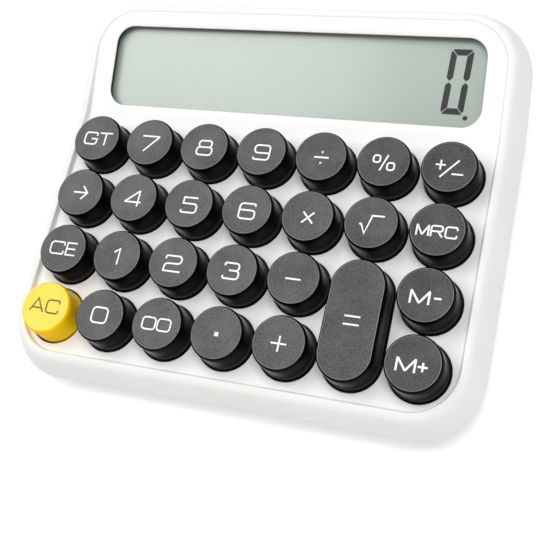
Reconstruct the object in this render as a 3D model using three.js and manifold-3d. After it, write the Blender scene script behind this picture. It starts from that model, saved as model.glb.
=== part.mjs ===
// Desktop calculator with round keys and a tilted display.
// Millimetres, +Z up, the display end towards +Y, the origin on the desk under the middle of the body.
// The keyboard frame has its origin on the key deck, at the middle of the rearmost row of keys.

import * as THREE from 'three';
import { mergeVertices } from 'three/addons/utils/BufferGeometryUtils.js';
import Module from 'manifold-3d';

const wasm = await Module();
wasm.setup();

// Key grid, keycaps and their travel
const keyPitch = 19.05;
const keyColumns = 7;
const keyRows = 4;
const keyTravel = 3.5;
const keySpacing = 2.05;
const capHeight = 8.9;
const capTopInset = 0.9;
const capEdgeRound = 0.25;
const capWaistInset = 1.2;
const capFlareInset = 0.7;
const capBaseBand = 0.3;
const capFlareHeightShare = 0.3;
const capWaistHeightShare = 0.64;
const capSkirtDrop = 1.4;
const capSkirtWall = 1.3;
const capTopWall = 2;
const capCavityWall = 1.4;
const keyholeClearance = 0.4;
const capSides = 16;
const capInnerSides = 8;

// Switches under the keycaps
const switchSpacing = 5.05;
const switchBaseHeight = 2.8;
const switchTurretWidthShare = 0.49;
const switchTurretTop = 1.4;
const switchTurretTopShare = 0.86;
const sliderWidthShare = 0.55;
const sliderClearance = 0.35;
const sliderOverlap = 4.4;
const stabiliserPinRadius = 1.3;
const pinSides = 8;

// Upper housing: key recess, rim and outer wall
const recessSideMargin = 2.45;
const recessFrontMargin = 2.9;
const recessCorner = 13.5;
const recessWallDraft = 0.5;
const rimHeight = 1.9;
const rimRound = 3.2;
const deckThickness = 2;
const skirtHeight = 9.4;
const skirtFlare = 5.9;
const skirtEdgeRound = 0.7;
const skirtBulge = 0.35;
const wallThickness = 2;
const cornerSegments = 3;
const pointTolerance = 0.001;

// The display section is bent up from the key section
const bendReachShare = 0.63;
const rimSlope = 0.24;
const displaySlope = 0.285;

// Display window and the stack behind it
const windowHeight = 27;
const windowFrontInset = 4.15;
const windowRearInset = 5.35;
const windowSideInset = 6.5;
const windowCorner = 6;
const windowBevelWidth = 2.4;
const windowBevelDepth = 0.6;
const windowLipThickness = 0.9;
const windowRebate = 2.6;
const seatClearance = 0.3;
const gasketThickness = 1.1;
const gasketSetback = 0.25;
const lensThickness = 0.8;
const lcdThickness = 2.2;
const lcdOverhang = 1.4;
const lcdLedgeHeight = 1.1;
const lcdLedgeDepth = 2.4;
const frameWall = 1.2;
const frameTrayDepth = 2.4;
const zebraWidth = 1.8;
const boardThickness = 1.6;

// Lower housing
const lowerStep = 0.6;
const lowerDraftShare = 0.42;
const frontDepth = 7.6;
const typingAngle = 5;
const partingGap = 0.3;
const floorRibHeight = 2.4;
const floorRibThickness = 1.2;
const floorRibCount = 3;

// Screws that hold the two housings together
const bossRadius = 2.4;
const bossShoulderRadius = 3.2;
const screwRadius = 1.2;
const screwHeadRadius = 2.3;
const screwHeadHeight = 1.6;
const screwHeadFaceShare = 0.8;
const screwGrip = 2.4;
const screwBite = 6.4;
const screwClearance = 0.35;
const columnWall = 1.1;
const bossTail = 0.5;
const screwSides = 8;

// Battery bay, cells, contacts and sliding door
const cellRadius = 5.25;
const cellLength = 42.6;
const cellButtonRadius = 1.9;
const cellButtonLength = 1.2;
const cellSeparation = 0.9;
const contactThickness = 0.5;
const contactGap = 2.6;
const contactWidth = 8;
const contactHeight = 8.4;
const springTipRadius = 2.2;
const springRootRadius = 3.4;
const bayWall = 1.4;
const doorThickness = 1.6;
const doorMargin = 2.6;
const doorTongue = 1.2;
const doorTongueThickness = 0.7;
const doorGripRibCount = 5;
const doorGripInset = 3.6;
const doorGripPitch = 1.8;
const doorGripWidth = 14;
const doorGripDepth = 0.5;
const cellSides = 16;

// Rubber feet
const footRadius = 5;
const footHeight = 2;
const footSink = 0.7;
const footEdge = 0.5;
const footSides = 16;
const footInset = 15;

// One overrun lets every cutter pass clear of the face that it cuts
const overrun = 1;

// Places that follow from the sizes above
const capBaseRadius = (keyPitch - keySpacing) / 2;
const capTopRadius = capBaseRadius - capTopInset;
const holeRadius = capBaseRadius + keyholeClearance;
const switchBaseWidth = keyPitch - switchSpacing;
const switchTurretWidth = 2 * capBaseRadius * switchTurretWidthShare;
const sliderWidth = switchTurretWidth * sliderWidthShare;
const stabiliserSpacing = keyPitch / 2;
const halfColumns = (keyColumns - 1) / 2 * keyPitch;
const halfRecess = halfColumns + holeRadius + recessSideMargin;
const lastRow = -(keyRows - 1) * keyPitch;
const recessFront = lastRow - holeRadius - recessFrontMargin;
const bendReach = keyPitch * bendReachShare;
const displayTilt = Math.atan(displaySlope);
const displayDepth = windowFrontInset + windowHeight + windowRearInset;
const recessRearReach = bendReach + displayDepth * Math.cos(displayTilt);
const windowWidth = 2 * (halfRecess - windowSideInset);
const partingHeight = rimHeight - skirtHeight;
const switchBaseTop = -capSkirtDrop - keyTravel - seatClearance;
const boardTop = switchBaseTop - switchBaseHeight;
const bossBottom = boardTop - boardThickness - bossTail;
const tilt = THREE.MathUtils.degToRad(typingAngle);
const bodyFront = recessFront - skirtFlare;
const bodyRear = recessRearReach + skirtFlare;
const floorAtFront = partingHeight - frontDepth;
const cellSpacing = 2 * cellRadius + cellSeparation;

// Solids from closed meshes, and back to geometry
function toSolid(geometry) {
  const bare = geometry.index ? geometry.clone() : geometry;
  bare.deleteAttribute('normal');
  bare.deleteAttribute('uv');
  const merged = mergeVertices(bare, pointTolerance / 100);
  return new wasm.Manifold(new wasm.Mesh({
    numProp: 3,
    vertProperties: new Float32Array(merged.attributes.position.array),
    triVerts: new Uint32Array(merged.index.array),
  }));
}

function toGeometry(solid) {
  const mesh = solid.getMesh();
  const geometry = new THREE.BufferGeometry();
  geometry.setAttribute('position', new THREE.BufferAttribute(new Float32Array(mesh.vertProperties), 3));
  geometry.setIndex(new THREE.BufferAttribute(new Uint32Array(mesh.triVerts), 1));
  geometry.computeVertexNormals();
  return geometry;
}

function joined(solids) {
  return solids.reduce((whole, piece) => whole.add(piece));
}

// A box given by its lowest and highest corners
function block(low, high, matrix) {
  const geometry = new THREE.BoxGeometry(high[0] - low[0], high[1] - low[1], high[2] - low[2]);
  geometry.translate((low[0] + high[0]) / 2, (low[1] + high[1]) / 2, (low[2] + high[2]) / 2);
  return toSolid(matrix ? geometry.applyMatrix4(matrix) : geometry);
}

// An upright post, round or many-sided, which may taper towards its top
function post(x, y, bottom, top, radius, sides, topRadius = radius, matrix) {
  const geometry = new THREE.CylinderGeometry(topRadius, radius, top - bottom, sides);
  geometry.rotateX(Math.PI / 2);
  geometry.rotateZ(Math.PI / 2);
  geometry.translate(x, y, (bottom + top) / 2);
  return toSolid(matrix ? geometry.applyMatrix4(matrix) : geometry);
}

// A square tower that narrows towards its top
function tower(x, y, bottom, top, width, topWidth) {
  const corners = [topWidth * Math.SQRT1_2, width * Math.SQRT1_2];
  const geometry = new THREE.CylinderGeometry(...corners, top - bottom, 4);
  geometry.rotateX(Math.PI / 2);
  geometry.rotateZ(Math.PI / 4);
  geometry.translate(x, y, (bottom + top) / 2);
  return toSolid(geometry);
}

// A solid of revolution about Z from a profile of radius and height
function turned(profile, sides) {
  const points = profile.map(([radius, height]) => new THREE.Vector2(radius, height));
  const geometry = new THREE.LatheGeometry(points, sides, Math.PI / 2);
  geometry.rotateX(Math.PI / 2);
  return geometry;
}

// A rectangle with round corners, grown outwards by an offset
function roundedOutline(halfWidth, front, rear, corner, offset, segments = cornerSegments) {
  const radius = corner + offset;
  const shape = new THREE.Shape();
  const right = halfWidth - corner;
  shape.absarc(right, front + corner, radius, -Math.PI / 2, 0, false);
  shape.absarc(right, rear - corner, radius, 0, Math.PI / 2, false);
  shape.absarc(-right, rear - corner, radius, Math.PI / 2, Math.PI, false);
  shape.absarc(-right, front + corner, radius, Math.PI, 1.5 * Math.PI, false);
  return shape.extractPoints(segments).shape;
}

// A key's outline: a circle, or a circle drawn out along Y
function keyOutline(radius, stretch, sides = capSides) {
  const shape = new THREE.Shape();
  shape.absarc(0, stretch / 2, radius, 0, Math.PI, false);
  shape.absarc(0, -stretch / 2, radius, Math.PI, 2 * Math.PI, false);
  const points = shape.extractPoints(sides / 4).shape;
  return points.filter((point, index) => {
    const next = points[(index + 1) % points.length];
    return point.distanceTo(next) > pointTolerance;
  });
}

// A loft through outlines with equal numbers of points, from the lowest to the highest
function loft(levels) {
  const count = levels[0].outline.length;
  const positions = [];
  const faces = [];
  for (const { outline, height } of levels) {
    for (const point of outline) {
      positions.push(point.x, point.y, height);
    }
  }
  for (let level = 0; level < levels.length - 1; level += 1) {
    for (let i = 0; i < count; i += 1) {
      const here = level * count + i;
      const next = level * count + (i + 1) % count;
      faces.push(here, next, next + count, here, next + count, here + count);
    }
  }
  const lastStart = (levels.length - 1) * count;
  const topFaces = THREE.ShapeUtils.triangulateShape(levels[levels.length - 1].outline, []);
  const bottomFaces = THREE.ShapeUtils.triangulateShape(levels[0].outline, []);
  const upward = (outline, [a, b, c]) => {
    const ab = outline[b].clone().sub(outline[a]);
    const ac = outline[c].clone().sub(outline[a]);
    return ab.cross(ac) > 0 ? [a, b, c] : [a, c, b];
  };
  for (const face of topFaces) {
    faces.push(...upward(levels[levels.length - 1].outline, face).map((index) => index + lastStart));
  }
  for (const face of bottomFaces) {
    faces.push(...upward(levels[0].outline, face).reverse());
  }
  const geometry = new THREE.BufferGeometry();
  geometry.setAttribute('position', new THREE.Float32BufferAttribute(positions, 3));
  geometry.setIndex(faces);
  return geometry;
}

// Far enough to pass clear of the whole body
const reach = 4 * halfRecess;

// Everything behind the bend line slopes up, and what is in front of it stays level
function bent(solid, slope) {
  const [rear, front] = solid.splitByPlane([0, 1, 0], bendReach);
  const sloped = rear.warp((point) => {
    point[2] += slope * Math.max(point[1] - bendReach, 0);
  });
  return front.add(sloped);
}

// The display frame: its Y runs up the sloped display face from the bend line
const displayMatrix = new THREE.Matrix4().makeRotationX(displayTilt).setPosition(0, bendReach, 0);

// The base frame: level with the desk, its origin on the underside below the front edge of the body
const baseMatrix = new THREE.Matrix4().makeRotationX(-tilt).setPosition(0, bodyFront, floorAtFront);

// The places of the keys, by column and row, with the tall key over two rows
const tallKey = { column: 5, row: 2, stretch: keyPitch };
const keyNames = [
  ['grand_total', 'seven', 'eight', 'nine', 'divide', 'percent', 'sign_change'],
  ['backspace', 'four', 'five', 'six', 'multiply', 'square_root', 'memory_recall'],
  ['clear_entry', 'one', 'two', 'three', 'minus', 'equals', 'memory_minus'],
  ['all_clear', 'zero', 'double_zero', 'point', 'plus', null, 'memory_plus'],
];

function keyPlaces() {
  const places = [];
  for (let row = 0; row < keyRows; row += 1) {
    for (let column = 0; column < keyColumns; column += 1) {
      const name = keyNames[row][column];
      if (name !== null) {
        const tall = column === tallKey.column && row === tallKey.row;
        const stretch = tall ? tallKey.stretch : 0;
        places.push({
          name,
          stretch,
          x: column * keyPitch - halfColumns,
          y: -row * keyPitch - stretch / 2,
        });
      }
    }
  }
  return places;
}

const keys = keyPlaces();

// Screw places between the keys: two near the front edge and two at the bend
const screwPlaces = [
  { name: 'front', x: 1.5 * keyPitch, y: recessFront + bossShoulderRadius / 2 },
  { name: 'rear', x: 2.5 * keyPitch, y: 0.5 * keyPitch },
].flatMap(({ name, x, y }) => [
  { name: `${name}_left`, x: -x, y },
  { name: `${name}_right`, x, y },
]);

// Keycap: dished cylinder with a narrow waist, a flared base and a slider for its switch below
function keycap(stretch) {
  const outer = [
    [capBaseRadius, -capSkirtDrop],
    [capBaseRadius, capBaseBand],
    [capBaseRadius - capFlareInset, capHeight * capFlareHeightShare],
    [capBaseRadius - capWaistInset, capHeight * capWaistHeightShare],
    [capTopRadius, capHeight - capEdgeRound],
    [capTopRadius - capEdgeRound, capHeight],
  ];
  const ceiling = capHeight - capTopWall;
  const inner = [
    [capBaseRadius - capSkirtWall, -capSkirtDrop - overrun],
    [capBaseRadius - capSkirtWall, -capSkirtDrop],
    [capTopRadius - capCavityWall, ceiling],
  ];
  const form = (profile, sides) => toSolid(loft(profile.map(([radius, height]) => ({
    outline: keyOutline(radius, stretch, sides),
    height,
  }))));
  const shell = form(outer, capSides).subtract(form(inner, capInnerSides));
  const half = sliderWidth / 2;
  const sliderBottom = switchTurretTop - sliderOverlap;
  const parts = [shell, block([-half, -half, sliderBottom], [half, half, ceiling + capTopWall / 2])];
  if (stretch > 0) {
    for (const side of [-1, 1]) {
      parts.push(post(0, side * stabiliserSpacing, sliderBottom, ceiling + capTopWall / 2,
        stabiliserPinRadius, pinSides));
    }
  }
  return joined(parts);
}

// Circuit board that carries the switch bodies, with the screw bosses passing through it
function keyBoard() {
  const edge = switchBaseWidth / 2 + boardThickness / 4;
  const side = halfColumns + edge;
  const bottom = boardTop - boardThickness;
  const parts = [block([-side, lastRow - edge, bottom], [side, edge, boardTop])];
  const wells = [];
  const half = switchBaseWidth / 2;
  const wellHalf = sliderWidth / 2 + sliderClearance;
  for (const { x, y, stretch } of keys) {
    const seat = boardTop - boardThickness / 2;
    parts.push(block([x - half, y - half, seat], [x + half, y + half, switchBaseTop]));
    parts.push(tower(x, y, switchBaseTop - switchBaseHeight / 2, switchTurretTop, switchTurretWidth,
      switchTurretWidth * switchTurretTopShare));
    wells.push(block([x - wellHalf, y - wellHalf, boardTop], [x + wellHalf, y + wellHalf,
      switchTurretTop + overrun]));
    if (stretch > 0) {
      for (const end of [-1, 1]) {
        const guideY = y + end * stabiliserSpacing;
        parts.push(post(x, guideY, seat, switchTurretTop, 2 * stabiliserPinRadius, pinSides));
        wells.push(post(x, guideY, boardTop, switchTurretTop + overrun,
          stabiliserPinRadius + sliderClearance, pinSides));
      }
    }
  }
  for (const { x, y } of screwPlaces) {
    wells.push(post(x, y, bottom - overrun, boardTop + overrun, bossRadius + screwClearance, screwSides));
  }
  return joined(parts).subtract(joined(wells));
}

// Outline of the body at a given offset from the recess edge
function bodyOutline(offset) {
  return roundedOutline(halfRecess, recessFront, recessRearReach, recessCorner, offset);
}

// Outer form of the upper housing: flared wall, soft shoulder and level rim
function upperForm() {
  const shoulder = [];
  const flareAngle = Math.atan((skirtFlare - rimRound) / (skirtHeight - rimRound));
  const shoulderSteps = 3;
  for (let step = 0; step <= shoulderSteps; step += 1) {
    const angle = flareAngle + (Math.PI / 2 - flareAngle) * step / shoulderSteps;
    shoulder.push([rimRound * Math.cos(angle), rimHeight - rimRound + rimRound * Math.sin(angle)]);
  }
  const foot = [skirtFlare, partingHeight + skirtEdgeRound];
  const middle = [
    (foot[0] + shoulder[0][0]) / 2 + skirtBulge,
    (foot[1] + shoulder[0][1]) / 2,
  ];
  const profile = [[skirtFlare - skirtEdgeRound, partingHeight], foot, middle, ...shoulder];
  return loft(profile.map(([offset, height]) => ({ outline: bodyOutline(offset), height })));
}

// Inside of the upper housing, open downwards, up to the underside of the deck
function upperCavity() {
  const topOffset = rimRound - wallThickness + skirtBulge;
  const bottomOffset = skirtFlare - wallThickness;
  return loft([
    { outline: bodyOutline(bottomOffset), height: partingHeight - skirtHeight / 2 },
    { outline: bodyOutline(bottomOffset), height: partingHeight },
    { outline: bodyOutline(topOffset), height: -deckThickness },
  ]);
}

// The recess that holds the keys and the display, with drafted side walls
function recessCutter() {
  return loft([
    { outline: bodyOutline(-recessWallDraft), height: 0 },
    { outline: bodyOutline(0), height: rimHeight },
    { outline: bodyOutline(0), height: rimHeight + skirtHeight },
  ]);
}

// Outline of the display window in the display frame, grown by an offset
function windowOutline(offset) {
  const front = windowFrontInset;
  return roundedOutline(windowWidth / 2, front, front + windowHeight, windowCorner, offset);
}

function windowBlock(offset, low, high, topOffset = offset) {
  return loft([
    { outline: windowOutline(offset), height: low },
    { outline: windowOutline(topOffset), height: high },
  ]);
}

const windowFront = windowFrontInset;
const windowRear = windowFrontInset + windowHeight;

// Window through the display face, its bevel, and the rebate for the gasket behind it
function windowCutter() {
  const bevelRise = windowBevelDepth / 2;
  const bevelGrowth = windowBevelWidth * (windowBevelDepth + bevelRise) / windowBevelDepth;
  const pieces = [
    windowBlock(0, -deckThickness - overrun, overrun),
    windowBlock(0, -windowBevelDepth, bevelRise, bevelGrowth),
    windowBlock(windowRebate + seatClearance, -deckThickness - overrun, -windowLipThickness),
  ];
  return joined(pieces.map((piece) => toSolid(piece.applyMatrix4(displayMatrix))));
}

// Stiffening ribs below the deck, between the keys and the display
function deckRibs() {
  const half = halfRecess - recessWallDraft;
  const rear = bendReach - bossRadius - screwClearance;
  const low = [-half, rear - floorRibThickness / 2, -deckThickness - floorRibHeight];
  const high = [half, rear + floorRibThickness / 2, -deckThickness / 2];
  return block(low, high);
}

function upperHousing() {
  const shell = bent(toSolid(upperForm()), rimSlope)
    .subtract(bent(toSolid(upperCavity()), displaySlope))
    .subtract(bent(toSolid(recessCutter()), displaySlope));
  const bosses = screwPlaces.flatMap(({ x, y }) => [
    post(x, y, bossBottom, -deckThickness / 2, bossRadius, screwSides),
    post(x, y, boardTop + seatClearance, -deckThickness / 2, bossShoulderRadius, screwSides),
  ]);
  const pilots = screwPlaces.map(({ x, y }) => post(x, y, bossBottom - overrun, -deckThickness,
    screwRadius + screwClearance, screwSides));
  const holes = keys.map(({ x, y, stretch }) => {
    const outline = keyOutline(holeRadius, stretch);
    const hole = loft([
      { outline, height: -deckThickness - overrun },
      { outline, height: overrun },
    ]);
    return toSolid(hole.translate(x, y, 0));
  });
  return joined([shell, deckRibs(), ...bosses])
    .subtract(joined([...pilots, ...holes, windowCutter()]));
}

// Body of the lower housing: walls drawn in from the parting line, cut level with the desk
const floorFall = Math.tan(tilt);
const lowerDepth = frontDepth + (bodyRear - bodyFront) * floorFall
  + (bodyRear - bendReach) * rimSlope + overrun;
const lowerTopOffset = skirtFlare - lowerStep;
const lowerTop = partingHeight - partingGap;

function lowerForm(inset, floorHeight, topHeight) {
  const topOffset = lowerTopOffset - inset;
  const bottomOffset = topOffset - lowerDraftShare * lowerDepth;
  const form = bent(toSolid(loft([
    { outline: bodyOutline(bottomOffset), height: lowerTop - lowerDepth },
    { outline: bodyOutline(topOffset), height: lowerTop },
    { outline: bodyOutline(topOffset), height: topHeight + pointTolerance },
  ])), rimSlope);
  return form.intersect(block([-reach, -reach, floorHeight], [reach, reach, reach], baseMatrix));
}

// How far back the underside reaches, in the base frame
const wallAtFront = recessRearReach + lowerTopOffset
  - lowerDraftShare * (lowerTop - rimSlope * bendReach - floorAtFront - bodyFront * floorFall);
const floorRear = wallAtFront / (1 + lowerDraftShare * (rimSlope + floorFall));
const baseRear = (floorRear - bodyFront) / Math.cos(tilt);

// Battery bay places in the base frame, with the cells lying side by side along X
const doorSeat = doorThickness + seatClearance;
const cellTotal = cellLength + cellButtonLength;
const bayHalf = cellTotal / 2 + contactGap + contactThickness;
const bayRear = baseRear - wallThickness - bayWall;
const bayFront = bayRear - cellSpacing - 2 * (cellRadius + seatClearance);
const cellCentre = doorSeat + seatClearance + cellRadius;
const bayCeiling = cellCentre + cellRadius + seatClearance;
const doorHalf = bayHalf + doorMargin;
const doorFront = bayFront - doorMargin;
const doorRear = baseRear - seatClearance;
const cellRows = [bayFront + seatClearance + cellRadius, bayRear - seatClearance - cellRadius];

// Tongue along the parting line that keys the two housings together
function partingLip() {
  const lipHeight = 2 * lowerStep;
  const outer = skirtFlare - wallThickness - seatClearance;
  const wallSlope = (skirtFlare - rimRound - skirtBulge) / (skirtHeight - rimHeight - deckThickness);
  const ring = (inset, low, high) => toSolid(loft([
    { outline: bodyOutline(outer - inset), height: lowerTop - low },
    { outline: bodyOutline(outer - inset - wallSlope * lipHeight), height: lowerTop + lipHeight + high },
  ]));
  return bent(ring(0, overrun, 0).subtract(ring(wallThickness / 2, 2 * overrun, overrun)), rimSlope);
}

// Bay for two cells, open below, with the slot in which the door slides
function batteryBay() {
  const padHalf = doorHalf + doorTongue + seatClearance + bayWall;
  const padFront = doorFront - seatClearance - bayWall;
  const pad = block([-padHalf, padFront, -overrun], [padHalf, baseRear + overrun, doorSeat + bayWall],
    baseMatrix);
  const shell = block([-bayHalf - bayWall, bayFront - bayWall, -overrun],
    [bayHalf + bayWall, bayRear + bayWall, bayCeiling + bayWall], baseMatrix);
  return joined([pad, shell]);
}

function baySpace() {
  const rear = baseRear + 4 * overrun;
  const tongueLow = doorThickness - doorTongueThickness - seatClearance;
  const slotHalf = doorHalf + seatClearance;
  return joined([
    block([-bayHalf, bayFront, -overrun], [bayHalf, bayRear, bayCeiling], baseMatrix),
    block([-slotHalf, doorFront - seatClearance, -overrun], [slotHalf, rear, doorSeat], baseMatrix),
    block([-slotHalf - doorTongue, doorFront - seatClearance, tongueLow],
      [slotHalf + doorTongue, rear, doorSeat], baseMatrix),
  ]);
}

// Feet stand near the corners of the underside
const feet = [
  { name: 'front_left', side: -1, y: footInset },
  { name: 'front_right', side: 1, y: footInset },
  { name: 'rear_left', side: -1, y: baseRear - footInset },
  { name: 'rear_right', side: 1, y: baseRear - footInset },
].map(({ name, side, y }) => ({ name, x: side * (halfRecess - footInset), y }));

// Ribs across the floor, from wall to wall, clear of the battery bay
function floorRibs() {
  const half = halfRecess + skirtFlare;
  const ribs = [];
  for (let rib = 1; rib <= floorRibCount; rib += 1) {
    const y = footInset + rib * keyPitch;
    ribs.push(block([-half, y, wallThickness / 2],
      [half, y + floorRibThickness, wallThickness + floorRibHeight], baseMatrix));
  }
  return joined(ribs);
}

function lowerHousing() {
  const outer = lowerForm(0, 0, lowerTop);
  const inner = lowerForm(wallThickness, wallThickness, lowerTop + rimHeight);
  const columnRadius = screwHeadRadius + screwClearance + columnWall;
  const columnTop = bossBottom - partingGap;
  const deep = lowerTop - lowerDepth;
  const seat = columnTop - screwGrip;
  const columns = screwPlaces.map(({ x, y }) => post(x, y, deep, columnTop, columnRadius, screwSides));
  const fittings = joined([...columns, batteryBay(), floorRibs()]).intersect(outer);
  const cuts = screwPlaces.flatMap(({ x, y }) => [
    post(x, y, seat - overrun, columnTop + overrun, screwRadius + screwClearance, screwSides),
    post(x, y, deep, seat, screwHeadRadius + screwClearance, screwSides),
  ]);
  for (const { x, y } of feet) {
    cuts.push(post(x, y, -overrun, footSink + seatClearance, footRadius + seatClearance, footSides,
      footRadius + seatClearance, baseMatrix));
  }
  return joined([outer.subtract(inner), fittings, partingLip()])
    .subtract(joined([...cuts, baySpace()]));
}

// Pan-head screw seen from its shank end
function screw() {
  const shankTop = seatClearance + screwGrip + partingGap + screwBite;
  return turned([
    [0, -screwHeadHeight],
    [screwHeadRadius * screwHeadFaceShare, -screwHeadHeight],
    [screwHeadRadius, -screwHeadHeight / 2],
    [screwHeadRadius, 0],
    [screwRadius, 0],
    [screwRadius, shankTop - screwRadius],
    [screwRadius / 3, shankTop],
    [0, shankTop],
  ], screwSides);
}

// Door with a tongue along each side and a ribbed thumb grip
function batteryDoor() {
  const tongueLow = doorThickness - doorTongueThickness;
  const panel = block([-doorHalf, doorFront, 0], [doorHalf, doorRear, doorThickness]);
  const tongues = block([-doorHalf - doorTongue, doorFront, tongueLow],
    [doorHalf + doorTongue, doorRear, doorThickness]);
  const grooves = [];
  for (let rib = 0; rib < doorGripRibCount; rib += 1) {
    const y = doorRear - doorGripInset - rib * doorGripPitch;
    grooves.push(block([-doorGripWidth / 2, y, -overrun], [doorGripWidth / 2, y + doorGripPitch / 2,
      doorGripDepth]));
  }
  return joined([panel, tongues]).subtract(joined(grooves));
}

// A cell lying along X, its button towards +X
function cell() {
  const geometry = turned([
    [0, -cellTotal / 2],
    [cellRadius, -cellTotal / 2],
    [cellRadius, cellTotal / 2 - cellButtonLength],
    [cellButtonRadius, cellTotal / 2 - cellButtonLength],
    [cellButtonRadius, cellTotal / 2],
    [0, cellTotal / 2],
  ], cellSides);
  return geometry.rotateY(Math.PI / 2);
}

// Contact blade at one end of the bay, with a cone for a spring or a flat stud for a button
function contact(end, ends) {
  const face = end * (cellTotal / 2 + contactGap - seatClearance);
  const back = face + end * contactThickness;
  const rows = ends.map(({ row }) => cellRows[row]);
  const low = [Math.min(face, back), Math.min(...rows) - contactWidth / 2, cellCentre - contactHeight / 2];
  const high = [Math.max(face, back), Math.max(...rows) + contactWidth / 2, cellCentre + contactHeight / 2];
  const length = contactGap - 2 * seatClearance;
  const studs = ends.map(({ row, spring }) => {
    const root = spring ? springRootRadius : springTipRadius;
    const studLength = length + contactThickness / 2;
    const stud = new THREE.CylinderGeometry(springTipRadius, root, studLength, screwSides);
    stud.translate(0, (length - contactThickness / 2) / 2, 0);
    stud.rotateZ(end * Math.PI / 2);
    stud.translate(face, cellRows[row], cellCentre);
    return toSolid(stud);
  });
  return joined([block(low, high), ...studs]);
}

function foot() {
  return turned([
    [0, -(footHeight - footSink)],
    [footRadius - footEdge, -(footHeight - footSink)],
    [footRadius, -(footHeight - footSink) + footEdge],
    [footRadius, footSink],
    [0, footSink],
  ], footSides);
}

// Display stack in the display frame: each layer hangs below the one above it
const gasketTop = -windowLipThickness - seatClearance;
const lensTop = gasketTop - gasketThickness - seatClearance;
const lcdTop = lensTop - lensThickness - seatClearance;
const lcdBottom = lcdTop - lcdThickness;
const holderBottom = lcdBottom - frameTrayDepth / 4;
const displayBoardTop = holderBottom - seatClearance;

function displayGasket() {
  const outer = toSolid(windowBlock(windowRebate, gasketTop - gasketThickness, gasketTop));
  const inner = toSolid(windowBlock(gasketSetback, gasketTop - gasketThickness - overrun,
    gasketTop + overrun));
  return outer.subtract(inner);
}

function displayLens() {
  return windowBlock(windowRebate, lensTop - lensThickness, lensTop);
}

// Two glass plates, the lower one set back at the front so that the contact ledge shows
function displayGlass() {
  const half = windowWidth / 2 + lcdOverhang;
  const front = windowFront - lcdOverhang;
  const rear = windowRear + lcdOverhang;
  return joined([
    block([-half, front, lcdTop - lcdLedgeHeight], [half, rear, lcdTop]),
    block([-half, front + lcdLedgeDepth, lcdBottom], [half, rear, lcdTop - lcdLedgeHeight / 2]),
  ]);
}

// Holder that frames the glass and carries it on a ledge at the sides and the rear
function displayHolder() {
  const half = windowWidth / 2 + lcdOverhang;
  const front = windowFront - lcdOverhang;
  const rear = windowRear + lcdOverhang;
  const grow = seatClearance + frameWall;
  const top = lcdTop;
  const body = block([-half - grow, front - grow, holderBottom], [half + grow, rear + grow, top]);
  const pocket = block([-half - seatClearance, front - seatClearance, lcdBottom - seatClearance],
    [half + seatClearance, rear + seatClearance, top + overrun]);
  const opening = block([-half + 2 * frameWall, front - seatClearance, holderBottom - overrun],
    [half - 2 * frameWall, rear - 2 * frameWall, top + overrun]);
  const corners = toSolid(windowBlock(windowCorner - frameWall / 2, holderBottom - overrun, top + overrun));
  return body.intersect(corners).subtract(joined([pocket, opening]));
}

// Rubber strip that joins the ledge of the glass to the board
function zebraStrip() {
  const front = windowFront - lcdOverhang + seatClearance;
  const half = windowWidth / 2 - 2 * frameWall;
  return block([-half, front, displayBoardTop + seatClearance],
    [half, front + zebraWidth, lcdTop - lcdLedgeHeight - seatClearance]);
}

function displayBoard() {
  const half = windowWidth / 2 + lcdOverhang;
  const front = windowFront - lcdOverhang - frameWall;
  return block([-half, front, displayBoardTop - boardThickness],
    [half, windowRear + lcdOverhang, displayBoardTop]);
}

// Materials, one for each kind of finish
function finish(color, roughness, metalness = 0) {
  return new THREE.MeshStandardMaterial({ color, roughness, metalness });
}

const whiteShell = finish(0xeeeeeb, 0.45);
const whiteBase = finish(0xe6e6e2, 0.5);
const blackCap = finish(0x3c3e3d, 0.5);
const yellowCap = finish(0xfbc818, 0.42);
const greenBoard = finish(0x1d5a35, 0.55);
const clearPlate = finish(0xdde3e0, 0.08);
const displayGrey = finish(0xc6d0ca, 0.35);
const blackFoam = finish(0x1b1c1c, 0.9);
const greyRubber = finish(0x3a3a3c, 0.85);
const brightSteel = finish(0xb8babd, 0.3, 1);
const cellJacket = finish(0x55606a, 0.4, 0.3);

function piece(name, shape, material) {
  const geometry = shape.isBufferGeometry ? shape : toGeometry(shape);
  const mesh = new THREE.Mesh(geometry, material);
  mesh.name = name;
  return mesh;
}

const keyboardFrame = new THREE.Group();
keyboardFrame.applyMatrix4(baseMatrix.clone().invert());
keyboardFrame.add(piece('upper_housing', upperHousing(), whiteShell));
keyboardFrame.add(piece('lower_housing', lowerHousing(), whiteBase));
keyboardFrame.add(piece('key_board', keyBoard(), greenBoard));

const roundCap = toGeometry(keycap(0));
for (const { name, x, y, stretch } of keys) {
  const geometry = stretch > 0 ? toGeometry(keycap(stretch)) : roundCap;
  const cap = piece(`key_${name}`, geometry, name === 'all_clear' ? yellowCap : blackCap);
  cap.position.set(x, y, 0);
  keyboardFrame.add(cap);
}

const screwShape = screw();
const screwSeat = bossBottom - partingGap - screwGrip - seatClearance;
for (const { name, x, y } of screwPlaces) {
  const fastener = piece(`housing_screw_${name}`, screwShape, brightSteel);
  fastener.position.set(x, y, screwSeat);
  keyboardFrame.add(fastener);
}

const displayFrame = new THREE.Group();
displayFrame.applyMatrix4(displayMatrix);
displayFrame.add(piece('display_gasket', displayGasket(), blackFoam));
displayFrame.add(piece('display_lens', displayLens(), clearPlate));
displayFrame.add(piece('display_glass', displayGlass(), displayGrey));
displayFrame.add(piece('display_holder', displayHolder(), whiteBase));
displayFrame.add(piece('display_connector', zebraStrip(), greyRubber));
displayFrame.add(piece('display_board', displayBoard(), greenBoard));
keyboardFrame.add(displayFrame);

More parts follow.
